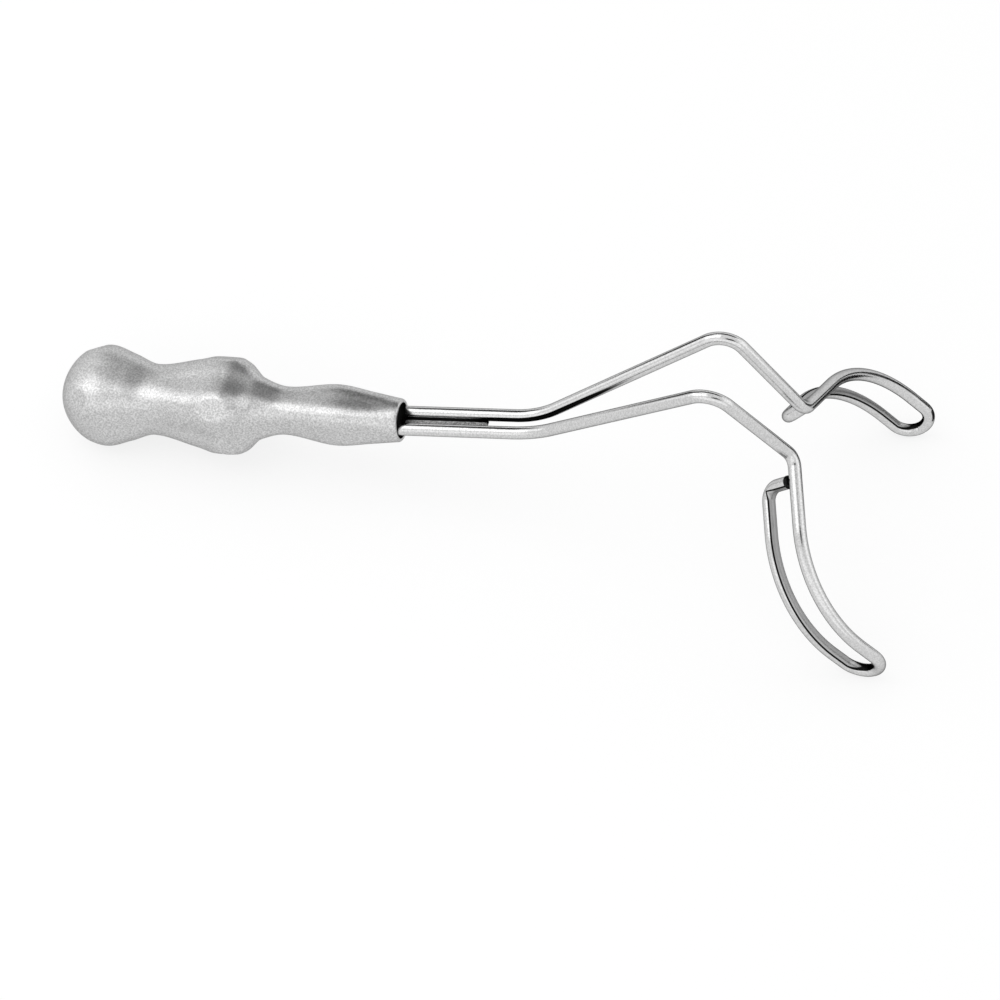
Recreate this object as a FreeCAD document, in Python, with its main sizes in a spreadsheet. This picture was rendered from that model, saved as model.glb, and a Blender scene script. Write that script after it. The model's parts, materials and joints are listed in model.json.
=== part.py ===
"""Handheld surgical retractor: a lobed steel grip with two mirrored arms of bent round rod.

Each arm is one rod. It leaves the nose of the grip beside its twin, rises to a knee, drops to
an elbow and sweeps sideways and down into a long narrow loop, whose end is brazed to the rod.
The pieces are drawn in the grip's own frame, in millimetres: X runs along the grip's axis from
its nose towards the loops, Z points up and the origin is the middle of the nose's end face.
A placement shared by all pieces then lays the instrument down as it rests on a table, on the
grip's ball end and the two loops, with the origin below the middle of its box.
"""
import math
import os

import FreeCAD
import Part
from FreeCAD import Placement, Rotation, Vector

# Driving dimensions, in millimetres and degrees
SIZES = {
    # Grip: distance of each station from the nose, and its radius over the lobes
    "grip_length": 113.4,
    "nose_radius": 6.7,
    "rim_chamfer": 0.6,
    "cone_station": 9.5,
    "cone_radius": 8.1,
    "swell_station": 21.0,
    "swell_radius": 9.6,
    "front_neck_station": 38.0,
    "front_neck_radius": 7.6,
    "bulge_foot_station": 46.6,
    "bulge_foot_radius": 9.9,
    "bulge_shoulder_station": 51.2,
    "bulge_shoulder_radius": 14.1,
    "bulge_station": 57.0,
    "bulge_radius": 16.2,
    "bulge_back_station": 68.0,
    "bulge_back_radius": 13.9,
    "rear_neck_station": 82.0,
    "rear_neck_radius": 11.3,
    "ball_neck_station": 90.4,
    "ball_neck_radius": 14.0,
    "ball_station": 98.3,
    "ball_radius": 16.2,
    "ball_bluntness": 2.3,
    # Share of the lobe radius that is left in the middle of each of the four facets
    "nose_facet": 1.0,
    "cone_facet": 0.88,
    "swell_facet": 0.86,
    "neck_facet": 0.90,
    "bulge_facet": 0.83,
    "ball_facet": 0.89,
    # Oval pads ground on top of the lobes; the ball's lie behind its widest station and lean back
    "pad_grinder_radius": 60.0,
    "pad_depth": 0.6,
    "bulge_pad_station": 57.0,
    "bulge_pad_radius": 16.2,
    "bulge_pad_lean": 0.0,
    "ball_pad_station": 101.8,
    "ball_pad_radius": 15.95,
    "ball_pad_lean": 9.5,
    # Nose recess and the bores that hold the rods
    "socket_radius": 5.6,
    "socket_depth": 5.0,
    "rod_seat_depth": 22.0,
    # Arms: rod stock and the corner points of its centre line, for the arm on one side
    "rod_diameter": 4.0,
    "rod_half_spacing": 3.4,
    "rod_rise": 4.6,
    "fork_x": 43.6,
    "fork_bend_radius": 30.0,
    "knee_x": 104.9,
    "knee_y": 11.6,
    "knee_z": 40.7,
    "knee_bend_radius": 8.0,
    "elbow_x": 125.8,
    "elbow_y": 9.0,
    "elbow_z": 10.4,
    "elbow_bend_radius": 4.8,
    # Loops: direction of the first run, roll of its bend, and the loop's own sizes
    "loop_yaw": 77.3,
    "loop_droop": 26.8,
    "loop_roll": 134.4,
    "loop_run": 20.9,
    "loop_bend_radius": 39.3,
    "loop_bend_angle": 62.0,
    "loop_tip_run": 5.5,
    "loop_width": 12.3,
    "loop_root_run": 7.0,
    "loop_root_radius": 4.3,
    "braze_gap": 0.9,
    "braze_diameter": 3.2,
    # Spacer bar brazed between the rods, and how far its middle lies below theirs
    "spacer_length": 27.5,
    "spacer_height": 1.8,
    "spacer_drop": 1.2,
    "spacer_bite": 0.9,
}

# The grip's stations from nose to ball, each with the facet that its section has
GRIP_FACETS = {
    "nose": "nose",
    "cone": "cone",
    "swell": "swell",
    "front_neck": "neck",
    "bulge_foot": "neck",
    "bulge_shoulder": "bulge",
    "bulge": "bulge",
    "bulge_back": "bulge",
    "rear_neck": "neck",
    "ball_neck": "neck",
    "ball": "ball",
}

# Points round a section of the grip, distance between sections in millimetres, and the
# number of sections on the rounded end behind the ball and the angle that they sweep
SECTION_POINTS = 16
SECTION_SPACING = 4.0
BALL_END_SECTIONS = 7
BALL_END_SWEEP = 84.0

# Sides of the instrument, as seen from behind the grip, and the sign of Y there
SIDES = {"left": 1, "right": -1}

doc = FreeCAD.newDocument("SurgicalRetractor")
sheet = doc.addObject("Spreadsheet::Sheet", "Sizes")
for row, (alias, value) in enumerate(SIZES.items(), start=1):
    sheet.set(f"A{row}", alias)
    sheet.set(f"B{row}", str(value))
    sheet.setAlias(f"B{row}", alias)
doc.recompute()


def size(alias):
    """Value of a named cell of the sheet."""
    return float(getattr(sheet, alias))


def bind(item, **expressions):
    """Tie properties of an object to cells of the sheet."""
    for name, expression in expressions.items():
        item.setExpression(name.replace("__", "."), expression)


# Grip


def grip_section(station, lobe_radius, facet):
    """Closed curve of the grip's section: four lobes on the diagonals and a facet between them."""
    flat_radius = lobe_radius * facet
    points = []
    for step in range(SECTION_POINTS):
        angle = 2 * math.pi * step / SECTION_POINTS
        radius = flat_radius + (lobe_radius - flat_radius) * math.sin(2 * angle) ** 2
        points.append(Vector(-station, radius * math.cos(angle), radius * math.sin(angle)))
    # Every section gets the same knots, which keeps the loft through them light
    knots = [step / SECTION_POINTS for step in range(SECTION_POINTS + 1)]
    curve = Part.BSplineCurve()
    curve.interpolate(Points=points, PeriodicFlag=True, Parameters=knots)
    return Part.Wire([curve.toShape()])


def slopes(places, values):
    """Slope of a curve through some points at each of them, level wherever the curve turns."""
    steps = [(b - a) / (q - p) for a, b, p, q in zip(values, values[1:], places, places[1:])]
    middle = [0.0 if a * b <= 0 else 2 * a * b / (a + b) for a, b in zip(steps, steps[1:])]
    return [steps[0], *middle, 0.0]


def along(place, places, values):
    """Value at a place on the smooth curve through some points."""
    slope = slopes(places, values)
    span = max(i for i in range(len(places) - 1) if places[i] <= place)
    width = places[span + 1] - places[span]
    share = (place - places[span]) / width
    rise = values[span + 1] - values[span]
    blend = share * share * (3 - 2 * share)
    lean = share * (1 - share) * ((1 - share) * slope[span] - share * slope[span + 1])
    return values[span] + rise * blend + width * lean


def body_stations():
    """Stations of the grip's body, evenly spaced from the nose to just before the ball."""
    places = [0.0, *(size(f"{name}_station") for name in GRIP_FACETS if name != "nose")]
    radii = [size(f"{name}_radius") for name in GRIP_FACETS]
    facets = [size(f"{facet}_facet") for facet in GRIP_FACETS.values()]
    count = round(places[-1] / SECTION_SPACING)
    stations = []
    for step in range(count):
        place = places[-1] * step / count
        stations.append((place, along(place, places, radii), along(place, places, facets)))
    return stations


def ball_stations():
    """Stations of the blunt round end of the ball, down to a small flat at its pole."""
    power = size("ball_bluntness")
    depth = size("grip_length") - size("ball_station")
    stations = []
    for step in range(BALL_END_SECTIONS):
        share = math.sin(math.radians(BALL_END_SWEEP) * step / (BALL_END_SECTIONS - 1))
        radius = size("ball_radius") * (1 - share ** power) ** (1 / power)
        stations.append((size("ball_station") + share * depth, radius, size("ball_facet")))
    return stations


def make_grip_blank():
    """Loft of the grip's outer form with the rim of the nose chamfered."""
    sections = []
    stations = body_stations() + ball_stations()
    for number, (station, lobe_radius, facet) in enumerate(stations, start=1):
        section = doc.addObject("Part::Feature", f"GripSection{number}")
        section.Shape = grip_section(station, lobe_radius, facet)
        sections.append(section)
    loft = doc.addObject("Part::Loft", "GripBlank")
    loft.Sections = sections
    loft.Solid = True
    loft.Ruled = False
    doc.recompute()

    chamfered = doc.addObject("Part::Chamfer", "GripChamfered")
    chamfered.Base = loft
    width = size("rim_chamfer")
    chamfered.Edges = [
        (number, width, width)
        for number, edge in enumerate(loft.Shape.Edges, start=1)
        if abs(edge.BoundBox.XMin) < 0.01 and abs(edge.BoundBox.XMax) < 0.01
    ]
    return chamfered


def lobe_angles():
    """Directions of the four lobes, in degrees from Y."""
    return [45 + 90 * quarter for quarter in range(4)]


def make_pad_grinders():
    """Spheres that grind the shallow oval pads on the lobes of the bulge and the ball."""
    grinders = []
    for place in ("bulge", "ball"):
        for angle in lobe_angles():
            sphere = doc.addObject("Part::Sphere", f"PadGrinder_{place}_{angle}")
            arm = "(Sizes.pad_grinder_radius - Sizes.pad_depth)"
            reach = f"(Sizes.{place}_pad_radius + {arm} * cos(Sizes.{place}_pad_lean))"
            bind(
                sphere,
                Radius="Sizes.pad_grinder_radius",
                Placement__Base__x=f"-Sizes.{place}_pad_station - {arm} * sin(Sizes.{place}_pad_lean)",
                Placement__Base__y=f"{reach} * cos({angle})",
                Placement__Base__z=f"{reach} * sin({angle})",
            )
            grinders.append(sphere)
    return grinders


def make_socket():
    """Round recess in the end of the nose, open towards the rods."""
    socket = doc.addObject("Part::Cylinder", "NoseSocket")
    socket.Placement = Placement(Vector(), Rotation(Vector(0, 1, 0), 90))
    bind(
        socket,
        Radius="Sizes.socket_radius",
        Height="2 * Sizes.socket_depth",
        Placement__Base__x="-Sizes.socket_depth",
    )
    return socket


def make_rod_bore(side_name, side):
    """Bore in the grip that seats one rod, a little deeper than the recess."""
    bore = doc.addObject("Part::Cylinder", f"RodBore_{side_name}")
    depth = "Sizes.rod_seat_depth / cos(Sizes.rod_rise)"
    bind(
        bore,
        Radius="Sizes.rod_diameter / 2",
        Height=f"2 * {depth}",
        Placement__Base__x="-Sizes.rod_seat_depth",
        Placement__Base__y=f"{side} * Sizes.rod_half_spacing",
        Placement__Base__z="-Sizes.rod_seat_depth * tan(Sizes.rod_rise)",
        Placement__Rotation__Axis__x="0",
        Placement__Rotation__Axis__y="1",
        Placement__Rotation__Axis__z="0",
        Placement__Rotation__Angle="90 - Sizes.rod_rise",
    )
    return bore


def make_grip():
    """Grip: lofted blank with ground pads, the nose recess and the rod bores."""
    blank = make_grip_blank()
    cutters = make_pad_grinders() + [make_socket()]
    cutters += [make_rod_bore(name, side) for name, side in SIDES.items()]
    tools = doc.addObject("Part::Compound", "GripCutters")
    tools.Links = cutters
    grip = doc.addObject("Part::Cut", "Grip")
    grip.Base = blank
    grip.Tool = tools
    grip.Label = "handle"
    return grip


# Arms


def loop_directions(side):
    """Unit vectors of a loop: its first run, the way it bends and the way across to its return."""
    yaw = math.radians(size("loop_yaw"))
    droop = math.radians(size("loop_droop"))
    roll = math.radians(size("loop_roll"))
    run = Vector(math.cos(yaw) * math.cos(droop), -math.sin(yaw) * math.cos(droop), -math.sin(droop))
    level = run.cross(Vector(0, 0, 1)).normalize()
    upright = run.cross(level)
    bend = level * math.cos(roll) + upright * math.sin(roll)
    across = bend.cross(run)
    return [Vector(v.x, -side * v.y, v.z) for v in (run, bend, across)]


def arm_corners(side):
    """Corner points of the rod's centre line from the bore in the grip to the elbow."""
    rise = math.tan(math.radians(size("rod_rise")))
    spread = side * size("rod_half_spacing")
    seat = size("rod_seat_depth")
    return [
        Vector(-seat, spread, -seat * rise),
        Vector(size("fork_x"), spread, size("fork_x") * rise),
        Vector(size("knee_x"), side * size("knee_y"), size("knee_z")),
        Vector(size("elbow_x"), side * size("elbow_y"), size("elbow_z")),
    ]


def turn(corner, before, after, radius):
    """Start, middle and end of the arc of a radius that rounds a corner."""
    back = (before - corner).normalize()
    ahead = (after - corner).normalize()
    half_angle = back.getAngle(ahead) / 2
    inwards = (back + ahead).normalize()
    centre = corner + inwards * (radius / math.sin(half_angle))
    trim = radius / math.tan(half_angle)
    return corner + back * trim, centre - inwards * radius, corner + ahead * trim


def arc_edge(start, middle, end):
    """Circular edge through three points."""
    return Part.Arc(start, middle, end).toShape()


def line_edge(start, end):
    """Straight edge."""
    return Part.LineSegment(start, end).toShape()


def bend_points(start, run, towards, radius, angle):
    """Middle and end of an arc that leaves start along run and bends towards a side."""
    centre = start + towards * radius
    points = []
    for share in (0.5, 1.0):
        turned = angle * share
        points.append(centre - towards * (radius * math.cos(turned)) + run * (radius * math.sin(turned)))
    return points


def arm_path(side):
    """Centre line of one rod, from its seat in the grip to the end that is brazed to the rod."""
    run, bend, across = loop_directions(side)
    corners = arm_corners(side)
    elbow = corners[-1]
    loop_start = elbow + run * size("loop_run")
    corners.append(loop_start)
    radii = [size("fork_bend_radius"), size("knee_bend_radius"), size("elbow_bend_radius")]
    edges = []
    reached = corners[0]
    for number, radius in enumerate(radii, start=1):
        start, middle, end = turn(corners[number], corners[number - 1], corners[number + 1], radius)
        edges += [line_edge(reached, start), arc_edge(start, middle, end)]
        reached = end
    edges.append(line_edge(reached, loop_start))

    angle = math.radians(size("loop_bend_angle"))
    width = across * size("loop_width")
    middle, bend_end = bend_points(loop_start, run, bend, size("loop_bend_radius"), angle)
    edges.append(arc_edge(loop_start, middle, bend_end))
    tip_way = run * math.cos(angle) + bend * math.sin(angle)
    tip_start = bend_end + tip_way * size("loop_tip_run")
    tip_top = tip_start + width / 2 + tip_way * (size("loop_width") / 2)
    edges += [
        line_edge(bend_end, tip_start),
        arc_edge(tip_start, tip_top, tip_start + width),
        line_edge(tip_start + width, bend_end + width),
        arc_edge(bend_end + width, middle + width, loop_start + width),
    ]

    root_radius = size("loop_root_radius")
    root_line = elbow + run * size("loop_root_run")
    root_start = root_line + width + run * root_radius
    root_middle, root_end = bend_points(root_start, -run, -across, root_radius, math.pi / 2)
    rod_side = root_line + across * (size("rod_diameter") / 2 + size("braze_gap"))
    edges += [
        line_edge(loop_start + width, root_start),
        arc_edge(root_start, root_middle, root_end),
        line_edge(root_end, rod_side),
    ]
    return Part.Wire(edges)


def make_arm(side_name, side):
    """One arm: round rod swept along its centre line."""
    path = doc.addObject("Part::Feature", f"Path_{side_name}")
    path.Shape = arm_path(side)
    start, ahead = arm_corners(side)[:2]
    section = doc.addObject("Part::Circle", f"RodSection_{side_name}")
    section.Placement = Placement(start, Rotation(Vector(0, 0, 1), ahead - start))
    bind(section, Radius="Sizes.rod_diameter / 2")
    arm = doc.addObject("Part::Sweep", f"Arm_{side_name}")
    arm.Sections = [section]
    arm.Spine = (path, [f"Edge{number}" for number in range(1, len(path.Shape.Edges) + 1)])
    arm.Solid = True
    arm.Frenet = False
    arm.Label = f"arm_{side_name}"
    return arm


def make_braze(side_name, side, arm):
    """Neck of braze that joins the end of the loop to the rod, hollowed to fit round the rod."""
    run, bend, across = loop_directions(side)
    root = arm_corners(side)[-1] + run * size("loop_root_run")
    neck = doc.addObject("Part::Cylinder", f"BrazeNeck_{side_name}")
    neck.Placement = Placement(root, Rotation(Vector(0, 0, 1), across))
    bind(
        neck,
        Radius="Sizes.braze_diameter / 2",
        Height="Sizes.rod_diameter / 2 + Sizes.braze_gap",
    )
    braze = doc.addObject("Part::Cut", f"Braze_{side_name}")
    braze.Base = neck
    braze.Tool = arm
    braze.Label = f"loop_braze_{side_name}"
    return braze


def make_spacer(neighbours):
    """Flat bar brazed between the rods where they leave the grip, cut to seat on its neighbours."""
    bar = doc.addObject("Part::Box", "SpacerBlank")
    width = "(2 * Sizes.rod_half_spacing - Sizes.rod_diameter + 2 * Sizes.spacer_bite)"
    length = "((Sizes.spacer_length + Sizes.socket_depth) / cos(Sizes.rod_rise))"
    half = "Sizes.spacer_height / 2"
    floor_middle = "-Sizes.socket_depth * tan(Sizes.rod_rise) - Sizes.spacer_drop / cos(Sizes.rod_rise)"
    bind(
        bar,
        Length=length,
        Width=width,
        Height="Sizes.spacer_height",
        Placement__Base__x=f"-Sizes.socket_depth + {half} * sin(Sizes.rod_rise)",
        Placement__Base__y=f"-{width} / 2",
        Placement__Base__z=f"{floor_middle} - {half} * cos(Sizes.rod_rise)",
        Placement__Rotation__Axis__x="0",
        Placement__Rotation__Axis__y="1",
        Placement__Rotation__Axis__z="0",
        Placement__Rotation__Angle="-Sizes.rod_rise",
    )
    reached = bar
    for number, neighbour in enumerate(neighbours, start=1):
        cut = doc.addObject("Part::Cut", f"SpacerCut{number}")
        cut.Base = reached
        cut.Tool = neighbour
        reached = cut
    reached.Label = "spacer_bar"
    return reached


# Rest


def lowest(shapes, pitch):
    """Lowest height of a group of shapes once they are pitched about the Y axis."""
    heights = []
    for shape in shapes:
        turned = shape.copy()
        turned.rotate(Vector(), Vector(0, 1, 0), pitch)
        heights.append(turned.optimalBoundingBox().ZMin)
    return min(heights)


def rest_pitch(grip, arms):
    """Pitch at which the ball end of the grip and the loops touch one level floor."""
    low, high = -30.0, 0.0
    while high - low > 0.001:
        middle = (low + high) / 2
        if lowest([grip], middle) < lowest(arms, middle):
            low = middle
        else:
            high = middle
    return (low + high) / 2


def rest_placement(pieces, grip, arms):
    """Placement that lays the instrument on the floor with the origin below its middle."""
    pitch = rest_pitch(grip.Shape, [arm.Shape for arm in arms])
    turned = Part.makeCompound([piece.Shape for piece in pieces])
    turned.rotate(Vector(), Vector(0, 1, 0), pitch)
    box = turned.optimalBoundingBox()
    print("rest pitch", round(pitch, 2), "box", [round(v, 1) for v in (box.XLength, box.YLength, box.ZLength)])
    shift = Vector(-box.Center.x, -box.Center.y, -box.ZMin)
    print("rest shift", [round(v, 2) for v in shift])
    return Placement(shift, Rotation(Vector(0, 1, 0), pitch))


def lay_down(piece, rest):
    """Copy of a finished piece in the rest position, under the piece's own name."""
    name = piece.Label
    piece.Label = f"{name}_made"
    laid = doc.addObject("Part::Feature", f"Laid_{name}")
    laid.Shape = piece.Shape
    laid.Placement = rest.multiply(laid.Placement)
    laid.Label = name
    return laid


def check(items):
    """Stop when an object failed to build."""
    for item in items:
        broken = {"Invalid", "Error"} & set(item.State)
        if broken:
            raise RuntimeError(f"{item.Label} failed: {item.State}")


def main():
    """Build every piece, lay the instrument down and write one file for each piece."""
    grip = make_grip()
    arms = [make_arm(name, side) for name, side in SIDES.items()]
    brazes = [make_braze(name, side, arm) for (name, side), arm in zip(SIDES.items(), arms)]
    spacer = make_spacer([*arms, grip])
    doc.recompute()
    check(doc.Objects)
    pieces = [grip, *arms, *brazes, spacer]
    path_length = doc.getObject("Path_left").Shape.Length
    stock = math.pi * (size("rod_diameter") / 2) ** 2 * path_length
    print("rod length", round(path_length, 1), "volume / stock", round(arms[0].Shape.Volume / stock, 5))
    rest = rest_placement(pieces, grip, arms)
    laid = [lay_down(piece, rest) for piece in pieces]
    doc.recompute()
    check(laid)
    os.makedirs("parts", exist_ok=True)
    for piece in laid:
        shape = piece.Shape
        if shape.isNull() or not shape.isValid() or len(shape.Solids) != 1:
            raise RuntimeError(f"{piece.Label} is not one valid solid")
        shape.exportStep(f"parts/{piece.Label}.step")
        print(piece.Label, round(shape.Volume, 1), "mm3", len(shape.Faces), "faces")


main()
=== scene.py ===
# %% [markdown]
# # Handheld surgical retractor
# A surgeon holds this instrument by its hollow steel grip and keeps tissue aside with two
# long wire loops. Everything on it is stainless steel in three finishes: the grip is bead
# blasted to a satin, the two bent rods are polished bright, and the short bar between them
# is left as it was ground. Brazing joins the pieces, and it stays dark at the loops.
#
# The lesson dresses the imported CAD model. Each visible piece is remade as one smooth mesh
# in the place of its CAD node, because polished steel shows every facet of a coarse one.

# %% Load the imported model
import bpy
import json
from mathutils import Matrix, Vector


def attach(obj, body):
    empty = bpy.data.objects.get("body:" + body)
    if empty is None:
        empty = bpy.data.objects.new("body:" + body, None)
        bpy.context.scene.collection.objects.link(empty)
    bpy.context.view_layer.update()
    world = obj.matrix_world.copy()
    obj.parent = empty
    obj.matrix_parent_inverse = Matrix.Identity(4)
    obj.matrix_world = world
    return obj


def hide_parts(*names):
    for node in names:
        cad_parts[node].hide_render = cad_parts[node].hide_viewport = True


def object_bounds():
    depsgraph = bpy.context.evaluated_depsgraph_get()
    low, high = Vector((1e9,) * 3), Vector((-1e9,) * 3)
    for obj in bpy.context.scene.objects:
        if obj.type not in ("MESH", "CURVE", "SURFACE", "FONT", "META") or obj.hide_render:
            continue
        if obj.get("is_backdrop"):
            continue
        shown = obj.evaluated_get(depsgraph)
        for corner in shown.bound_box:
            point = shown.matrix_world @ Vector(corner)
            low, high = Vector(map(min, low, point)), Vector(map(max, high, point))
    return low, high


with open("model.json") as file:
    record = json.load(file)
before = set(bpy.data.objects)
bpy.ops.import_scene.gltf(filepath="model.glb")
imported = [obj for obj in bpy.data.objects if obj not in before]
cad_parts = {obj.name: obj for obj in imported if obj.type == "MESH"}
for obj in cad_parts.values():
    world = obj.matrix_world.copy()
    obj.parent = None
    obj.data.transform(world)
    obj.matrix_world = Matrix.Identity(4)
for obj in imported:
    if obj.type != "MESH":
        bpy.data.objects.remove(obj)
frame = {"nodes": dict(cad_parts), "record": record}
cad_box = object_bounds()
print("nodes", sorted(frame["nodes"]))
print("CAD box in mm", [[round(v * 1000, 2) for v in corner] for corner in cad_box])

# %% [markdown]
# ## Units and small helpers
# The frame is in metres and the drawing of an instrument is in millimetres, so sizes below
# are written in millimetres and multiplied by MM where they reach Blender. Colours are
# written as sRGB hex values, the way a colour picker shows them, and turned to the linear
# values that shaders need.

# %% Units and colour
import json
import math

import bmesh
import bpy
import numpy as np
from mathutils import Matrix, Vector

MM = 0.001
scene = bpy.context.scene
scene.view_settings.view_transform = "Standard"


def linear(colour):
    """Linear RGBA of an sRGB colour written as six hex digits."""
    channels = [int(colour[i:i + 2], 16) / 255 for i in (0, 2, 4)]
    return [c / 12.92 if c <= 0.04045 else ((c + 0.055) / 1.055) ** 2.4 for c in channels] + [1.0]


print("mid grey 808080 is", round(linear("808080")[0], 3), "in linear light")

# %% [markdown]
# Materials, the world and Geometry Nodes are all node trees. One helper adds a node, gives
# it its settings and fills its sockets, each with a value or with a link.


# %% Adding a node
def add_node(tree, kind, sockets=None, **settings):
    """Adds a node to a tree; sockets maps a socket's name or number to a value or an output."""
    node = tree.nodes.new(kind)
    for name, value in settings.items():
        setattr(node, name, value)
    for key, value in (sockets or {}).items():
        if isinstance(value, bpy.types.NodeSocket):
            tree.links.new(value, node.inputs[key])
        else:
            node.inputs[key].default_value = value
    return node


# %% [markdown]
# ## The grip's own frame
# The instrument lies on the ball end of its grip and on its two loops, so the grip points a
# little upwards. A maker measures everything from the end of the nose, along the grip's
# axis. The record gives the direction of that axis, and the CAD node gives the nose: it is
# the farthest point that way, and the axis runs midway between the grip's top and bottom.

# %% Find the nose and the axis
grip_mount = next(m for m in frame["record"]["mounts"] if m["name"] == "grip_hold")
AHEAD = Vector(grip_mount["axis"]).normalized()
LEFT = Vector((0, 1, 0))
UPRIGHT = AHEAD.cross(LEFT)
grip_points = [vertex.co for vertex in frame["nodes"]["handle"].data.vertices]
heights = [point.dot(UPRIGHT) for point in grip_points]
NOSE = AHEAD * max(point.dot(AHEAD) for point in grip_points) + UPRIGHT * (min(heights) + max(heights)) / 2
GRIP_AXES = np.array([AHEAD, LEFT, UPRIGHT])


def to_frame(points):
    """Points in metres in the shared frame, from millimetres along the grip's own axes."""
    return np.asarray(points) * MM @ GRIP_AXES + np.array(NOSE)


print("nose at", [round(v / MM, 2) for v in NOSE], "mm")
print("axis up by", round(math.degrees(math.asin(AHEAD.z)), 2), "degrees")

# %% [markdown]
# ## Finishes
# Stainless steel reflects about six tenths of the light, with hardly any colour. What tells
# one finish from another is how far its surface scatters the reflection, so each material
# below is a metal with its own roughness and its own fine relief. Relief is drawn with noise
# on the object's coordinates, in metres, so a scale is one over the size of a grain. Noise
# keeps near its middle, so the range that it really fills is stretched to the full range.
#
# Polished bar stock mirrors the room. It goes darker just inside its edges, where steel
# reflects least, which is the edge tint of a metal. A buffing wheel leaves a faint haze.
# The inner sides of the narrow loops, and the sides where the two rods face each other, are
# rougher and painted darker: painted shade, a dark line and dull greys that stand in for the
# shade and dark reflections between the rods. Each point of a rod carries a number for that,
# and the material follows it through three steps: it passes to the colour of the painted dark
# line, then to the painted grey behind it, and last to that of the innermost.

# %% Steel and its finishes
PATCH_NOISE, GRAIN_NOISE = (0.3, 0.7), (0.35, 0.65)
# Steps of the painted shade on the inner sides: the dark line, the grey behind it, the innermost.
SHADE_STEPS = ((0.53, 0.58), (0.74, 0.80), (0.94, 1.00))
SHADE_ROUGHNESS = 0.38


def new_material(name):
    """Material with an empty node tree, and its output node."""
    material = bpy.data.materials.new(name)
    material.use_nodes = True
    material.node_tree.nodes.clear()
    return material, add_node(material.node_tree, "ShaderNodeOutputMaterial")


def steel(name, colour, edge, roughness, haze, grain, relief, patch, shade_colours=None):
    """Steel of one finish, whose roughness wanders by haze from patch to patch. Sizes are in mm.

    Given three painted shade colours, the mesh's painted shade attribute leads from the finish to each.
    """
    material, output = new_material(name)
    tree = material.node_tree
    place = add_node(tree, "ShaderNodeTexCoord").outputs["Object"]
    cloud = add_node(tree, "ShaderNodeTexNoise", {
        "Vector": place, "Scale": 1 / (patch * MM), "Detail": 3.0})
    grit = add_node(tree, "ShaderNodeTexNoise", {
        "Vector": place, "Scale": 1 / (grain * MM), "Detail": 2.0})
    uneven = add_node(tree, "ShaderNodeMapRange", {
        "Value": cloud.outputs["Fac"], "From Min": PATCH_NOISE[0], "From Max": PATCH_NOISE[1],
        "To Min": roughness - haze, "To Max": roughness + haze})
    speck = add_node(tree, "ShaderNodeMapRange", {
        "Value": grit.outputs["Fac"], "From Min": GRAIN_NOISE[0], "From Max": GRAIN_NOISE[1]})
    tone = add_node(tree, "ShaderNodeMix", {
        "Factor": speck.outputs["Result"], "A": linear(colour[0]), "B": linear(colour[1])}, data_type="RGBA")
    base, spread = tone.outputs["Result"], uneven.outputs["Result"]
    # Painted shade: where the mesh is marked, the colour passes to painted dark colours and the steel gets
    # rougher.
    if shade_colours:
        painted_shade = add_node(tree, "ShaderNodeAttribute", attribute_name="painted_shade").outputs["Fac"]
        for shade_colour, (start, end) in zip(shade_colours, SHADE_STEPS):
            step = add_node(tree, "ShaderNodeMapRange", {
                "Value": painted_shade, "From Min": start, "From Max": end}, interpolation_type="SMOOTHSTEP")
            share = step.outputs["Result"]
            base = add_node(tree, "ShaderNodeMix", {
                "Factor": share, "A": base, "B": linear(shade_colour)}, data_type="RGBA").outputs["Result"]
            spread = add_node(tree, "ShaderNodeMix", {
                "Factor": share, "A": spread, "B": SHADE_ROUGHNESS}).outputs["Result"]
    bump = add_node(tree, "ShaderNodeBump", {
        "Strength": 1.0, "Distance": relief * MM, "Height": grit.outputs["Fac"]})
    shader = add_node(tree, "ShaderNodeBsdfPrincipled", {
        "Base Color": base, "Metallic": 1.0, "Roughness": spread,
        "Specular Tint": linear(edge), "Normal": bump.outputs["Normal"]})
    tree.links.new(shader.outputs["BSDF"], output.inputs["Surface"])
    return material


# Its three last colours are painted shade on the rods' inner sides: a dark line and two greys.
polished_steel = steel(
    "polished_stainless_rod", colour=("C0C0C0", "D6D6D6"), edge="808080",
    roughness=0.17, haze=0.03, grain=0.5, relief=0.004, patch=9.0, shade_colours=("141414", "B0B0B0", "989898"))
print("polished rod:", polished_steel.name)

# %% [markdown]
# Glass beads blasted at the grip leave shallow dents about a tenth of a millimetre wide.
# They are drawn five times as coarse here, because real ones would vanish in the picture.
# The satin keeps a soft sheen, which is why the grip's ridges glow and its flats go dark.

# %% Satin grip
satin_steel = steel(
    "bead_blasted_stainless", colour=("B0B0B0", "D8D8D8"), edge="C4C4C4",
    roughness=0.36, haze=0.04, grain=0.55, relief=0.02, patch=14.0)
print("satin grip:", satin_steel.name)

# %% [markdown]
# The bar between the rods is cut from flat stock and keeps the grey of a grinding belt, but
# only in its middle: along both rods its sides are painted black, painted shade in the narrow
# gaps between bar and rods. The braze at the loops is nearly black, and so are the fill and
# wall of the nose's recess: dark braze, with painted shade in the recess.

# %% Ground bar with painted shade, and dark braze
# The bar's three last colours are painted shade along both rods.
ground_steel = steel(
    "ground_stainless_bar", colour=("8A8A8A", "E0E0E0"), edge="808080",
    roughness=0.42, haze=0.06, grain=0.5, relief=0.03, patch=3.0, shade_colours=("141414",) * 3)
# Nearly black braze, which also paints the shade on the wall and fill of the nose's recess.
braze_and_recess_shade = steel(
    "dark_braze_and_painted_recess_shade", colour=("161616", "2A2A2A"), edge="404040",
    roughness=0.45, haze=0.10, grain=0.35, relief=0.04, patch=1.2)
print("bar and braze:", ground_steel.name, braze_and_recess_shade.name)

# %% [markdown]
# ## The grip
# The grip is pressed from tube, with four lobes that fill the palm and a flat facet between
# each pair. Its section follows one rule all along: a radius over the lobes, and the share
# of it that is left in the middle of a facet. Both are given at eleven stations and flow
# smoothly between them, so the mesh is made ring by ring from that rule.

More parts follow.
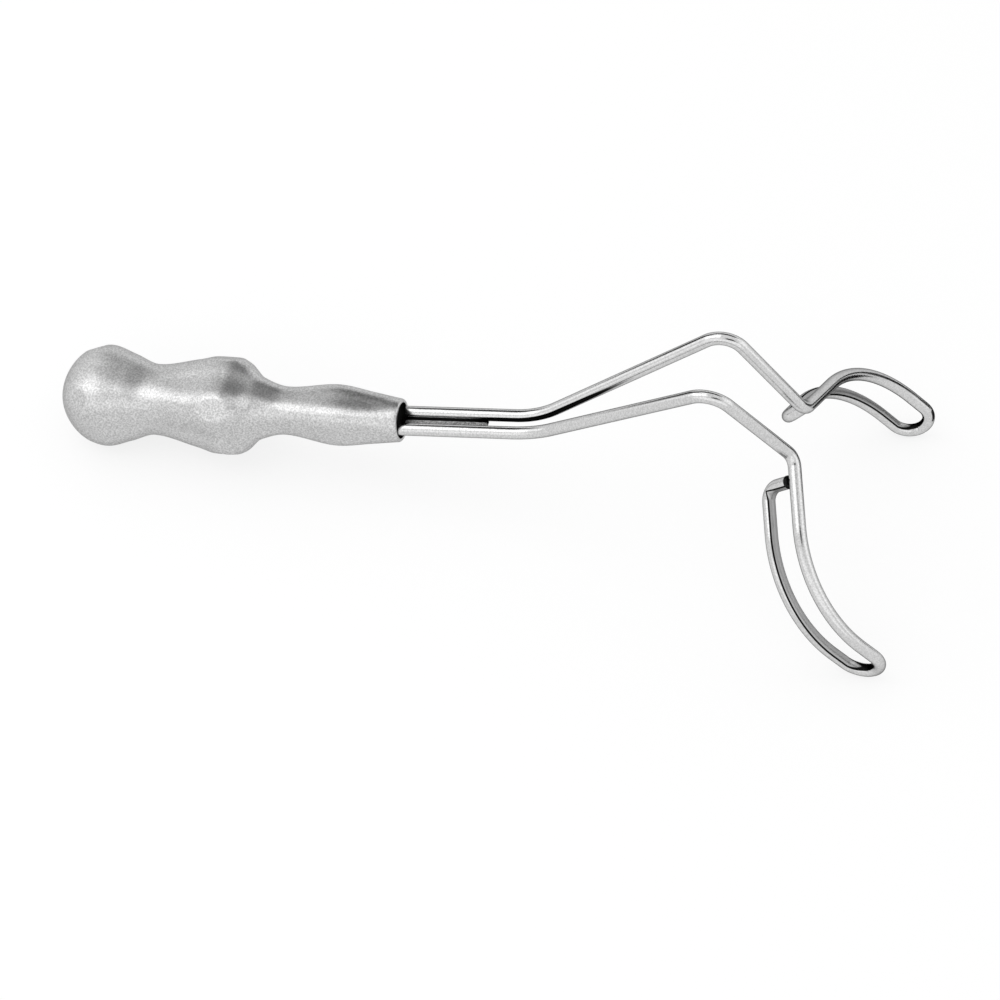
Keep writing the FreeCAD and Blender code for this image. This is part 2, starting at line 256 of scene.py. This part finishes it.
# %% Profile of the grip
GRIP_PROFILE = {  # station behind the nose, radius over the lobes, share left on the facets
    "nose": (0.0, 6.7, 1.0),
    "cone": (9.5, 8.1, 0.88),
    "swell": (21.0, 9.6, 0.86),
    "front_neck": (38.0, 7.6, 0.90),
    "bulge_foot": (46.6, 9.9, 0.90),
    "bulge_shoulder": (51.2, 14.1, 0.83),
    "bulge": (57.0, 16.2, 0.83),
    "bulge_back": (68.0, 13.9, 0.83),
    "rear_neck": (82.0, 11.3, 0.90),
    "ball_neck": (90.4, 14.0, 0.90),
    "ball": (98.3, 16.2, 0.89),
}
stations, lobe_radii, facet_shares = (list(values) for values in zip(*GRIP_PROFILE.values()))


def flow(place, values):
    """Value at a place on the smooth curve through the stations, level wherever it turns."""
    steps = [(b - a) / (q - p) for a, b, p, q in zip(values, values[1:], stations, stations[1:])]
    slopes = [0.0 if a * b <= 0 else 2 * a * b / (a + b) for a, b in zip(steps, steps[1:])]
    slopes = [steps[0], *slopes, 0.0]
    span = max(i for i in range(len(stations) - 1) if stations[i] <= place)
    width = stations[span + 1] - stations[span]
    share = (place - stations[span]) / width
    lean = share * (1 - share) * ((1 - share) * slopes[span] - share * slopes[span + 1])
    rise = (values[span + 1] - values[span]) * share * share * (3 - 2 * share)
    return values[span] + rise + width * lean


print("waist behind the bulge:", round(flow(82.0, lobe_radii) * 2, 1), "mm over the lobes")

# %% [markdown]
# A round wheel has ground a shallow oval pad on top of each lobe, at the bulge and behind the
# ball's widest place. A pad is where a sphere of the wheel's radius bites into the lobe. The
# two surfaces are blended where they lie close together, as polishing would leave them.

# %% Sections with ground pads
SIDES_ROUND = 144
PAD_WHEEL, PAD_BLEND = 60.0, 0.15
PADS = (  # station behind the nose, radius over the lobe, lean of the wheel, depth
    (57.5, 16.2, 0.0, 1.2),
    (103.6, 15.3, math.radians(19.0), 0.65),
)
angles = np.arange(SIDES_ROUND) * 2 * math.pi / SIDES_ROUND


def ground_section(station, lobe_radius, facet_share):
    """Radius at each angle of a section, lobed and with the pads ground in."""
    radius = lobe_radius * (facet_share + (1 - facet_share) * np.sin(2 * angles) ** 2)
    for pad_station, pad_radius, lean, depth in PADS:
        behind = pad_station + (PAD_WHEEL - depth) * math.sin(lean)
        reach = pad_radius + (PAD_WHEEL - depth) * math.cos(lean)
        for quarter in range(4):
            aside = reach * np.sin(angles - math.pi / 4 - quarter * math.pi / 2)
            ahead = reach * np.cos(angles - math.pi / 4 - quarter * math.pi / 2)
            room = PAD_WHEEL ** 2 - (station - behind) ** 2 - aside ** 2
            wheel = np.where((room > 0) & (ahead > 0), ahead - np.sqrt(np.maximum(room, 0)), np.inf)
            overlap = np.maximum(PAD_BLEND - np.abs(radius - wheel), 0) / PAD_BLEND
            radius = np.minimum(radius, wheel) - overlap ** 2 * PAD_BLEND / 4
    return radius


bulge_section = ground_section(*GRIP_PROFILE["bulge"])
print("ground lobes reach", round(bulge_section.max(), 2), "mm from the axis at the bulge")

# %% [markdown]
# Behind the ball's widest station the grip closes in a blunt round end. At the nose the wall
# turns over a rounded rim into a recess where the rods go in, and braze fills the recess
# and heaps a little round the rods. The fill and the inner round of the rim are coloured nearly
# black, dark braze and painted shade in the recess. The rings run from the middle of that fill,
# out over the rim and back to the end of the ball, where the lobes fade into a round.

# %% Rings of the grip
RING_SPACING, RIM_ROUND, RIM_INNER_ROUND = 0.75, 0.6, 0.25
# The first steps of the rim inside the recess are painted dark: painted shade of the recess.
RIM_STEPS, SHADED_RIM_STEPS = 6, 2
RECESS_RADIUS, RECESS_DEPTH, FILL_DEPTH, FILL_CROWN = 5.6, 5.0, 0.35, 1.3
FILL_SHARES = (0.3, 0.55, 0.75, 0.9)
BALL_LENGTH, BALL_BLUNTNESS, BALL_RINGS = 14.6, 2.15, 36
quarter_turn = np.linspace(0, math.pi / 2, RIM_STEPS + 1)


def level_ring(station, radius):
    """Ring of points round the axis at a station; radius is a number or one for each angle."""
    across, up = radius * np.cos(angles), radius * np.sin(angles)
    return np.stack([np.full_like(angles, -station), across, up], axis=1)


nose_radius = GRIP_PROFILE["nose"][1]
rings = [level_ring(FILL_DEPTH - FILL_CROWN * (1 - share ** 2), share * RECESS_RADIUS)
         for share in (*FILL_SHARES, 1.0)]
fill_rings = len(rings)
for turn in quarter_turn:
    inner_radius = RECESS_RADIUS + RIM_INNER_ROUND * (1 - math.cos(turn))
    rings.append(level_ring(RIM_INNER_ROUND * (1 - math.sin(turn)), inner_radius))
for turn in quarter_turn[:-1]:
    outer_radius = nose_radius - RIM_ROUND * (1 - math.sin(turn))
    rings.append(level_ring(RIM_ROUND * (1 - math.cos(turn)), outer_radius))
for station in np.linspace(RIM_ROUND, stations[-1], round((stations[-1] - RIM_ROUND) / RING_SPACING)):
    section = ground_section(station, flow(station, lobe_radii), flow(station, facet_shares))
    rings.append(level_ring(station, section))
for turn in np.linspace(0, math.pi / 2, BALL_RINGS)[1:-1]:
    share = math.sin(turn)
    fall = (1 - share ** BALL_BLUNTNESS) ** (1 / BALL_BLUNTNESS)
    station = stations[-1] + BALL_LENGTH * share
    fade = (1 - facet_shares[-1]) * share ** 2
    section = ground_section(station, lobe_radii[-1] * fall * (1 - fade / 2), facet_shares[-1] + fade)
    rings.append(level_ring(station, section))
print(len(rings), "rings,", fill_rings, "of them on the braze")

# %% [markdown]
# A skin through the rings makes the piece. Each end closes on one point in the middle. Faces
# that meet at more than fifty degrees keep their edge, and all others are shaded smooth.

# %% Skin through rings
SHARP_EDGE = math.radians(50)


def skin(name, rings, first_end, last_end, materials):
    """Closed object through rings of points in the shared frame, with a point at each end."""
    count = len(rings[0])
    points = np.concatenate([*rings, [first_end], [last_end]])
    faces = []
    for row in range(len(rings) - 1):
        start, after = row * count, (row + 1) * count
        faces += [(start + i, start + (i + 1) % count, after + (i + 1) % count, after + i)
                  for i in range(count)]
    last_row, tip = (len(rings) - 1) * count, len(points) - 2
    faces += [((i + 1) % count, i, tip) for i in range(count)]
    faces += [(last_row + i, last_row + (i + 1) % count, tip + 1) for i in range(count)]
    mesh = bpy.data.meshes.new(name)
    mesh.from_pydata(points.tolist(), [], faces)
    shell = bmesh.new()
    shell.from_mesh(mesh)
    bmesh.ops.recalc_face_normals(shell, faces=shell.faces)
    shell.to_mesh(mesh)
    shell.free()
    mesh.shade_smooth()
    mesh.set_sharp_from_angle(angle=SHARP_EDGE)
    for material in materials:
        mesh.materials.append(material)
    piece = bpy.data.objects.new(name, mesh)
    scene.collection.objects.link(piece)
    return piece


grip = skin(
    "grip_skin", [to_frame(ring) for ring in rings],
    to_frame((FILL_CROWN - FILL_DEPTH, 0, 0)), to_frame((-stations[-1] - BALL_LENGTH, 0, 0)),
    [satin_steel, braze_and_recess_shade])
# Painted shade of the recess: the braze fill, the inner steps of the rim and the cap in the middle take the
# nearly black material.
recess_shade_faces = (fill_rings + SHADED_RIM_STEPS) * SIDES_ROUND
skin_faces = (len(rings) - 1) * SIDES_ROUND
for number, face in enumerate(grip.data.polygons):
    closes_fill = skin_faces <= number < skin_faces + SIDES_ROUND
    if number < recess_shade_faces or closes_fill:
        face.material_index = 1
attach(grip, "root")
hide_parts("handle")
print("grip", len(grip.data.polygons), "faces")

# %% [markdown]
# ## The two arms
# Each arm is one length of 4 mm rod, bent round formers. A bender's drawing gives the corner
# points of the centre line and a bend radius for each, and that is how the path is held
# here. The loop is the same: its long bend, the two quarter turns of its tip, the way back
# beside itself and the quarter turn that brings its end to the rod.

# %% Sizes of the arms
ROD_DIAMETER, POLISH_LOSS = 4.0, 0.04
ROD_ASIDE, ROD_RISE, ROD_SEAT = 3.4, math.radians(4.6), 22.0
FORK_AHEAD, FORK_BEND = 43.6, 30.0
KNEE, KNEE_BEND = Vector((104.9, 11.6, 40.7)), 8.0
ELBOW, ELBOW_BEND = Vector((125.8, 9.0, 10.4)), 4.8
LOOP_YAW, LOOP_DROOP, LOOP_ROLL = (math.radians(v) for v in (77.3, 26.8, 134.4))
LOOP_RUN, LOOP_BEND, LOOP_TURN, TIP_RUN = 20.9, 39.3, math.radians(62.0), 5.5
LOOP_WIDTH, ROOT_RUN, ROOT_BEND, BRAZE_GAP = 12.3, 7.0, 4.3, 0.9
print("loop", LOOP_WIDTH + ROD_DIAMETER, "mm wide over its rods")


# %% [markdown]
# The loop leaves the elbow sideways and downwards. Three directions at right angles describe
# it: the way its first run goes, the way its long bend curls, and the way across to the rod
# that comes back. The drawing is for the right arm, and the left one is its mirror image.


# %% Corners of a rod
def loop_directions(side):
    """First run, curl and way across of the loop on a side, +1 for left and -1 for right."""
    run = Vector((math.cos(LOOP_YAW) * math.cos(LOOP_DROOP), -math.sin(LOOP_YAW) * math.cos(LOOP_DROOP),
                  -math.sin(LOOP_DROOP)))
    level = run.cross(Vector((0, 0, 1))).normalized()
    curl = level * math.cos(LOOP_ROLL) + run.cross(level) * math.sin(LOOP_ROLL)
    across = curl.cross(run)
    return [Vector((v.x, -side * v.y, v.z)) for v in (run, curl, across)]


def rod_corners(side):
    """Corners of a rod's centre line from its seat in the grip, each with its bend radius."""
    run, curl, across = loop_directions(side)
    seat = Vector((-ROD_SEAT, side * ROD_ASIDE, -ROD_SEAT * math.tan(ROD_RISE)))
    fork = Vector((FORK_AHEAD, side * ROD_ASIDE, FORK_AHEAD * math.tan(ROD_RISE)))
    knee, elbow = (Vector((v.x, side * v.y, v.z)) for v in (KNEE, ELBOW))
    reach = LOOP_BEND * math.tan(LOOP_TURN / 2)
    sweep = elbow + run * (LOOP_RUN + reach)
    tip_way = run * math.cos(LOOP_TURN) + curl * math.sin(LOOP_TURN)
    tip = sweep + tip_way * (reach + TIP_RUN + LOOP_WIDTH / 2)
    root = elbow + run * ROOT_RUN
    over = across * LOOP_WIDTH
    return [
        (seat, 0.0), (fork, FORK_BEND), (knee, KNEE_BEND), (elbow, ELBOW_BEND), (sweep, LOOP_BEND),
        (tip, LOOP_WIDTH / 2), (tip + over, LOOP_WIDTH / 2), (sweep + over, LOOP_BEND),
        (root + over, ROOT_BEND), (root + across * (ROD_DIAMETER / 2 + BRAZE_GAP), 0.0),
    ]


print("corners of a rod:", len(rod_corners(1)))

# %% [markdown]
# Geometry Nodes do the bending. The tree takes a line of corners, rounds each corner with an
# arc of its own radius, and carries a circle along the path. It is a rule that holds for any
# bent rod, and a new bend only needs a new corner.

# %% Geometry Nodes tree of a bent rod
rod_tree = bpy.data.node_groups.new("bent_rod", "GeometryNodeTree")
INPUTS = {"Corners": "Geometry", "Rod diameter": "Float", "Sides": "Int", "Finish": "Material"}
for label, kind in INPUTS.items():
    rod_tree.interface.new_socket(label, in_out="INPUT", socket_type="NodeSocket" + kind)
rod_tree.interface.new_socket("Rod", in_out="OUTPUT", socket_type="NodeSocketGeometry")
given = add_node(rod_tree, "NodeGroupInput").outputs
bend = add_node(rod_tree, "GeometryNodeInputNamedAttribute", {"Name": "bend_radius"}, data_type="FLOAT")
steps = add_node(rod_tree, "GeometryNodeInputNamedAttribute", {"Name": "bend_steps"}, data_type="INT")
path = add_node(rod_tree, "GeometryNodeMeshToCurve", {"Mesh": given["Corners"]})
bent = add_node(rod_tree, "GeometryNodeFilletCurve", {
    "Curve": path.outputs["Curve"], "Count": steps.outputs["Attribute"],
    "Radius": bend.outputs["Attribute"], "Limit Radius": True}, mode="POLY")
rod_radius = add_node(rod_tree, "ShaderNodeMath", {0: given["Rod diameter"], 1: 2.0}, operation="DIVIDE")
section = add_node(rod_tree, "GeometryNodeCurvePrimitiveCircle", {
    "Resolution": given["Sides"], "Radius": rod_radius.outputs[0]})
swept = add_node(rod_tree, "GeometryNodeCurveToMesh", {
    "Curve": bent.outputs["Curve"], "Profile Curve": section.outputs["Curve"], "Fill Caps": True})
smooth = add_node(rod_tree, "GeometryNodeSetShadeSmooth", {"Geometry": swept.outputs["Mesh"]})
solid = add_node(rod_tree, "GeometryNodeRealizeInstances", {"Geometry": smooth.outputs["Geometry"]})
finished = add_node(rod_tree, "GeometryNodeSetMaterial", {
    "Geometry": solid.outputs["Geometry"], "Material": given["Finish"]})
add_node(rod_tree, "NodeGroupOutput", {"Rod": finished.outputs["Geometry"]})
print("nodes in the tree:", len(rod_tree.nodes))

# %% [markdown]
# The corners go in as a mesh of points and edges, with the bend radius and the number of
# steps of each bend as attributes. Steps are counted so that no facet on a bend is longer
# than half a millimetre, which a mirror finish needs. The tree's result is kept as a mesh.
#
# The points on the inner sides are then marked for the painted shade. In the loop the mark
# grows from the middle of the rod inwards, and less so round the tip. Between the rods it
# fades on the way to the knee, where they are farther apart, and it never passes the painted
# dark line.

# %% Mark the painted shade on the inner sides
TIP_FADE, KNEE_FADE = 0.28, 0.6
FACING_POWER, FACING_MOST = 4, 0.65


def painted_shade_share(points, normals, side):
    """Share of painted shade at points of a rod, from 0 to 1, by how far they face the other rod or the
    inside of its loop.
    """
    run, curl, across = (np.array(v) for v in loop_directions(side))
    elbow, sweep, tip = (np.array(rod_corners(side)[i][0]) for i in (3, 4, 5))
    tip_way = (tip - sweep) / np.linalg.norm(tip - sweep)
    local = (points - np.array(NOSE)) @ GRIP_AXES.T / MM
    half_width = LOOP_WIDTH / 2
    aside = (local - elbow) @ across - half_width
    past_tip_turn = np.maximum((local - tip) @ tip_way + half_width, 0)
    from_sides = half_width - np.hypot(aside, past_tip_turn)
    from_root = (local - elbow) @ run - ROOT_RUN
    # Painted shade on the inner sides of the loop.
    loop_shade = np.minimum(from_sides, from_root) / (ROD_DIAMETER / 2)
    loop_shade *= 1 - TIP_FADE * np.clip(past_tip_turn / ROD_DIAMETER, 0, 1)
    way_to_knee = np.clip((local[:, 0] - FORK_AHEAD) / (KNEE.x - FORK_AHEAD), 0, 1)
    # Painted shade on the sides where the two rods face each other, fading towards the knee.
    facing = np.clip(-side * normals @ np.array(LEFT), 0, 1) ** FACING_POWER
    gap_shade = np.minimum(facing * (1 - KNEE_FADE * way_to_knee), FACING_MOST)
    return np.clip(np.maximum(loop_shade, gap_shade), 0, 1)


print("largest mark between the rods at the knee:", round(1 - KNEE_FADE, 2))

# %% [markdown]
# Each corner now gets its radius and its count of steps, and the tree bends the two rods.

# %% Bend the rods
BEND_STEP = 0.5
ROD_SIDES = 56


def bend_angle(corners, number):
    """Angle through which the path turns at a corner, and 0 at its two ends."""
    if number in (0, len(corners) - 1):
        return 0.0
    before, here, after = (corners[number + i][0] for i in (-1, 0, 1))
    return (here - before).angle(after - here)


def bend_rod(name, side):
    """Bent rod on a side, as a finished mesh in the shared frame."""
    corners = rod_corners(side)
    mesh = bpy.data.meshes.new(name)
    mesh.from_pydata(to_frame([point for point, _ in corners]).tolist(),
                     [(i, i + 1) for i in range(len(corners) - 1)], [])
    mesh.attributes.new("bend_radius", "FLOAT", "POINT").data.foreach_set(
        "value", [radius * MM for _, radius in corners])
    mesh.attributes.new("bend_steps", "INT", "POINT").data.foreach_set(
        "value", [max(1, math.ceil(radius * bend_angle(corners, i) / BEND_STEP))
                  for i, (_, radius) in enumerate(corners)])
    rod = bpy.data.objects.new(name, mesh)
    scene.collection.objects.link(rod)
    modifier = rod.modifiers.new("bending", "NODES")
    modifier.node_group = rod_tree
    settings = {
        "Rod diameter": (ROD_DIAMETER - POLISH_LOSS) * MM, "Sides": ROD_SIDES, "Finish": polished_steel}
    for label, value in settings.items():
        modifier[rod_tree.interface.items_tree[label].identifier] = value
    bent = rod.evaluated_get(bpy.context.evaluated_depsgraph_get())
    rod.data = bpy.data.meshes.new_from_object(bent)
    rod.modifiers.clear()
    rod.data.set_sharp_from_angle(angle=SHARP_EDGE)
    points = np.array([vertex.co for vertex in rod.data.vertices])
    normals = np.array([vertex.normal for vertex in rod.data.vertices])
    rod.data.attributes.new("painted_shade", "FLOAT", "POINT").data.foreach_set(
        "value", painted_shade_share(points, normals, side))
    return rod


for side_name, side in (("left", 1), ("right", -1)):
    rod = bend_rod(f"bent_rod_{side_name}", side)
    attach(rod, "root")
    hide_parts(f"arm_{side_name}")
    print(rod.name, len(rod.data.polygons), "faces, material", rod.data.materials[0].name)

# %% [markdown]
# ## Brazed joints at the loops
# The end of each loop stops just short of the rod, and a neck of braze fills the gap. Molten
# braze creeps up both sides, so the neck is wide where it meets the steel and narrow between.
# Its foot follows the round of the rod. It stays black, because nobody polishes in there.

# %% Braze necks
NECK_SIDES = 48
ROOT_RADIUS, ROOT_SUNK, FOOT_RADIUS, FOOT_PROUD = 1.9, 0.5, 1.95, 0.02
NECK_PROFILE = (  # height over the rod, radius
    (0.15, 1.70), (0.35, 1.55), (0.55, 1.62), (0.75, 1.85), (0.95, 2.05), (1.15, 2.08), (1.3, 2.02))
neck_angles = np.arange(NECK_SIDES) * 2 * math.pi / NECK_SIDES


def braze_neck(name, side):
    """Neck of braze between a rod and the end of its loop."""
    run, curl, across = (np.array(v) for v in loop_directions(side))
    elbow = np.array((ELBOW.x, side * ELBOW.y, ELBOW.z))
    root = elbow + run * ROOT_RUN
    saddle = np.sqrt((ROD_DIAMETER / 2) ** 2 - (FOOT_RADIUS * np.sin(neck_angles)) ** 2)
    around = np.cos(neck_angles)[:, None] * run + np.sin(neck_angles)[:, None] * curl
    neck_rings = []
    for height, radius in ((saddle - ROOT_SUNK, ROOT_RADIUS), (saddle + FOOT_PROUD, FOOT_RADIUS),
                           *((ROD_DIAMETER / 2 + rise, radius) for rise, radius in NECK_PROFILE)):
        height = np.broadcast_to(height, neck_angles.shape)[:, None]
        neck_rings.append(to_frame(root + across * height + around * radius))
    first_end, last_end = (ring.mean(axis=0) for ring in (neck_rings[0], neck_rings[-1]))
    return skin(name, neck_rings, first_end, last_end, [braze_and_recess_shade])


for side_name, side in (("left", 1), ("right", -1)):
    neck = braze_neck(f"braze_neck_{side_name}", side)
    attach(neck, "root")
    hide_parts(f"loop_braze_{side_name}")
    print(neck.name, len(neck.data.polygons), "faces")

# %% [markdown]
# ## The spacer bar
# A strip of ground flat bar keeps the rods apart in front of the nose, and ends square. It
# lies low between them, so each rod is seen whole beside it. Its edges are eased by a fifth of
# a millimetre, which gives the square end its thin bright line. Its sides along the rods are
# painted black, painted shade in the gaps between bar and rods. The mark for that is nought
# along the middle, where a cut adds points for it, grows to both sides and passes its first
# step at the edge of the width left unshaded.

# %% Spacer bar
BAR_LENGTH, BAR_HEIGHT, BAR_DROP, BAR_WIDTH, BAR_EASE = 27.5, 1.8, 1.2, 4.5, 0.2
BAR_CLEAR, UNSHADED_WIDTH = 0.05, 1.2
# Painted shade on the bar's sides reaches this mark at the edge of its lighter middle.
BAR_SHADE_MARK = 0.55
bar_start, bar_end = -RECESS_DEPTH + BAR_CLEAR, BAR_LENGTH / math.cos(ROD_RISE) - BAR_CLEAR
shape = bmesh.new()
bmesh.ops.create_cube(shape, size=1.0)
for vertex in shape.verts:
    along_rod = bar_start + (vertex.co.x + 0.5) * (bar_end - bar_start)
    height = vertex.co.z * (BAR_HEIGHT - 2 * BAR_CLEAR) - BAR_DROP
    vertex.co = Vector(to_frame((
        along_rod * math.cos(ROD_RISE) - height * math.sin(ROD_RISE),
        vertex.co.y * BAR_WIDTH,
        along_rod * math.sin(ROD_RISE) + height * math.cos(ROD_RISE))))
bmesh.ops.bevel(shape, geom=shape.edges, offset=BAR_EASE * MM, segments=4, profile=0.5, affect="EDGES")
bmesh.ops.bisect_plane(shape, geom=[*shape.verts, *shape.edges, *shape.faces], plane_co=NOSE, plane_no=LEFT)
bmesh.ops.recalc_face_normals(shape, faces=shape.faces)
bar_mesh = bpy.data.meshes.new("spacer")
shape.to_mesh(bar_mesh)
shape.free()
# The bar's painted shade grows from its middle towards both rods.
bar_mesh.attributes.new("painted_shade", "FLOAT", "POINT").data.foreach_set(
    "value", [BAR_SHADE_MARK * abs(vertex.co.y) / (UNSHADED_WIDTH / 2 * MM) for vertex in bar_mesh.vertices])
bar_mesh.shade_smooth()
bar_mesh.set_sharp_from_angle(angle=SHARP_EDGE)
bar_mesh.materials.append(ground_steel)
bar = bpy.data.objects.new("spacer_strip", bar_mesh)
scene.collection.objects.link(bar)
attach(bar, "root")
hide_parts("spacer_bar")
print("spacer", len(bar_mesh.polygons), "faces")

# %% [markdown]
# ## Floor, light and camera
# The instrument is pictured on pure white. The floor is a white sheet: to the camera and to
# the steel three parts in four of it glow white, and the fourth is lit paint, which keeps the
# soft shadow. The world is white to them too, and lights everything else a little less.


# %% White floor and world
def seen_directly(tree):
    """1 for a ray from the camera or from a glossy or clear surface, and 0 for any other."""
    light_path = add_node(tree, "ShaderNodeLightPath").outputs
    gloss = add_node(tree, "ShaderNodeMath", {
        0: light_path["Is Glossy Ray"], 1: light_path["Is Transmission Ray"]}, operation="MAXIMUM")
    return add_node(tree, "ShaderNodeMath", {
        0: light_path["Is Camera Ray"], 1: gloss.outputs[0]}, operation="MAXIMUM").outputs[0]


GLOW_SHARE = 0.75
white_sheet, output = new_material("white_sheet")
tree = white_sheet.node_tree
paint = add_node(tree, "ShaderNodeBsdfDiffuse", {"Color": linear("F4F4F4")})
glow = add_node(tree, "ShaderNodeEmission", {"Color": linear("FFFFFF"), "Strength": 1.0})
share = add_node(tree, "ShaderNodeMath", {0: seen_directly(tree), 1: GLOW_SHARE}, operation="MULTIPLY")
mixed = add_node(tree, "ShaderNodeMixShader", {
    0: share.outputs[0], 1: paint.outputs["BSDF"], 2: glow.outputs["Emission"]})
tree.links.new(mixed.outputs["Shader"], output.inputs["Surface"])

FLOOR_HALF = 3.0
floor_mesh = bpy.data.meshes.new("floor")
floor_mesh.from_pydata([(-FLOOR_HALF, -FLOOR_HALF, 0), (FLOOR_HALF, -FLOOR_HALF, 0),
                        (FLOOR_HALF, FLOOR_HALF, 0), (-FLOOR_HALF, FLOOR_HALF, 0)], [], [(0, 1, 2, 3)])
floor_mesh.materials.append(white_sheet)
floor = bpy.data.objects.new("floor", floor_mesh)
scene.collection.objects.link(floor)
floor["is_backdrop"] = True

world = bpy.data.worlds.new("studio")
world.use_nodes = True
scene.world = world
tree = world.node_tree
tree.nodes.clear()
room = add_node(tree, "ShaderNodeBackground", {"Color": linear("F4F4F4"), "Strength": 1.0})
backdrop = add_node(tree, "ShaderNodeBackground", {"Color": linear("FFFFFF"), "Strength": 1.0})
mixed = add_node(tree, "ShaderNodeMixShader", {
    0: seen_directly(tree), 1: room.outputs["Background"], 2: backdrop.outputs["Background"]})
add_node(tree, "ShaderNodeOutputWorld", {"Surface": mixed.outputs["Shader"]})
print("floor and world are white")

# %% [markdown]
# Steel in an all-white room would look like grey plastic. A photographer gives it shape with
# black cards behind the instrument, outside the picture. The metal mirrors them as the dark
# bands on the grip's upper facets and along the rods. One stands close behind the grip, with
# grey cards beside and above it for the softer bands, and a wide one hangs farther back. Low
# cards behind and beside the loops, one of them flat on the floor, draw the dark line along
# the outside of each rod, and a high one in front draws the line down the front loop. They
# are seen only in reflections.


# %% Black and grey cards
def matt_paper(name, colour):
    """Paper that scatters the light evenly."""
    material, output = new_material(name)
    matt = add_node(material.node_tree, "ShaderNodeBsdfDiffuse", {"Color": linear(colour)})
    material.node_tree.links.new(matt.outputs["BSDF"], output.inputs["Surface"])
    return material


def hang_card(name, paper, start, end, foot, top, back=0):
    """Card over a line on the floor: its two heights and how far back its top leans, in mm."""
    mesh = bpy.data.meshes.new(name)
    mesh.from_pydata([(x * MM, (y + lean) * MM, z * MM) for (x, y), z, lean in (
        (start, foot, 0), (end, foot, 0), (end, top, back), (start, top, back))], [], [(0, 1, 2, 3)])
    mesh.materials.append(paper)
    card = bpy.data.objects.new(name, mesh)
    scene.collection.objects.link(card)
    card.visible_camera = card.visible_diffuse = card.visible_shadow = False
    card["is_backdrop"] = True
    print(name, round(math.dist(start, end)), "by", top - foot, "mm")


black_paper = matt_paper("black_paper", "1C1C1C")
grey_paper = matt_paper("grey_paper", "B0B0B0")
hang_card("near_card", black_paper, (-90, 75), (-2, 75), foot=70, top=175)
hang_card("left_card", grey_paper, (-190, 75), (-90, 75), foot=95, top=175)
hang_card("tall_card", grey_paper, (-130, 75), (-42, 75), foot=175, top=400)
hang_card("far_card", black_paper, (-430, 370), (340, 370), foot=300, top=610)
hang_card("low_card", black_paper, (215, 150), (300, 150), foot=2, top=58)
hang_card("low_side_card", black_paper, (300, 150), (300, 95), foot=2, top=62)
hang_card("floor_card", black_paper, (143, 42), (210, 42), foot=1, top=2, back=74)
hang_card("front_card", black_paper, (95, -120), (190, -75), foot=200, top=335)

# %% [markdown]
# Four soft boxes light the steel: a wide one high above, towards the ball end, which makes the
# ridges of the grip glow, and weaker ones in front and at the instrument's two ends.
# A box is given by how much it adds to what lies behind it, where 1 is the brightness of the
# white floor, and its power follows from that.


# %% Soft boxes
def direction(azimuth, elevation):
    """Unit vector; azimuth 0 points to the front, -Y, and 90 to the loops, +X."""
    a, e = math.radians(azimuth), math.radians(elevation)
    return Vector((math.sin(a) * math.cos(e), -math.cos(a) * math.cos(e), math.sin(e)))


def soft_box(name, azimuth, elevation, distance, width, height, brightness):
    """Area lamp that faces the instrument's middle, of a size in metres."""
    lamp = bpy.data.lights.new(name, "AREA")
    lamp.shape, lamp.size, lamp.size_y = "RECTANGLE", width, height
    lamp.energy = brightness * math.pi * width * height
    holder = bpy.data.objects.new(name, lamp)
    towards = direction(azimuth, elevation)
    holder.location = (cad_box[0] + cad_box[1]) / 2 + towards * distance
    holder.rotation_mode = "QUATERNION"
    holder.rotation_quaternion = towards.to_track_quat("Z", "Y")
    holder.visible_camera = False
    scene.collection.objects.link(holder)
    print(name, round(lamp.energy, 2), "W")


soft_box("overhead_soft_box", 270, 60, 0.80, 0.78, 0.70, brightness=0.85)
soft_box("front_soft_box", 0, 25, 0.85, 1.80, 0.60, brightness=0.3)
soft_box("side_soft_box", 105, 28, 1.10, 1.00, 0.60, brightness=0.4)
soft_box("rear_soft_box", 270, 30, 1.10, 0.60, 0.60, brightness=0.4)

# %% [markdown]
# The camera looks down from in front, a little from the loops' side, with a long lens. It is
# rolled a few degrees, as the photograph was.

# %% Camera
VIEW_AZIMUTH, VIEW_ELEVATION, VIEW_ROLL = 17.468, 53.440, -4.770
VIEW_TARGET, VIEW_DISTANCE, VIEW_LENS = Vector((9.90, -12.32, 10.13)) * MM, 0.930, 108.0
back = direction(VIEW_AZIMUTH, VIEW_ELEVATION)
camera_data = bpy.data.cameras.new("camera")
camera_data.lens, camera_data.sensor_width = VIEW_LENS, 36.0
camera_data.clip_start, camera_data.clip_end = 0.05, 20.0
camera = bpy.data.objects.new("camera", camera_data)
right = Vector((math.cos(math.radians(VIEW_AZIMUTH)), math.sin(math.radians(VIEW_AZIMUTH)), 0))
aim = Matrix((right, back.cross(right), back)).transposed()
camera.location = VIEW_TARGET + back * VIEW_DISTANCE
camera.rotation_mode = "QUATERNION"
camera.rotation_quaternion = (aim @ Matrix.Rotation(math.radians(VIEW_ROLL), 3, "Z")).to_quaternion()
scene.collection.objects.link(camera)
scene.camera = camera
print("camera at", [round(v, 3) for v in camera.location])

# %% [markdown]
# ## Size and finish
# Both boxes are printed, the CAD model's and the dressed model's. The dressed model may not
# outgrow the CAD model.

# %% Write the boxes and finish
shown_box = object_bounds()
for name, box in (("CAD", cad_box), ("shown", shown_box)):
    print(name, [[round(v / MM, 2) for v in corner] for corner in box])
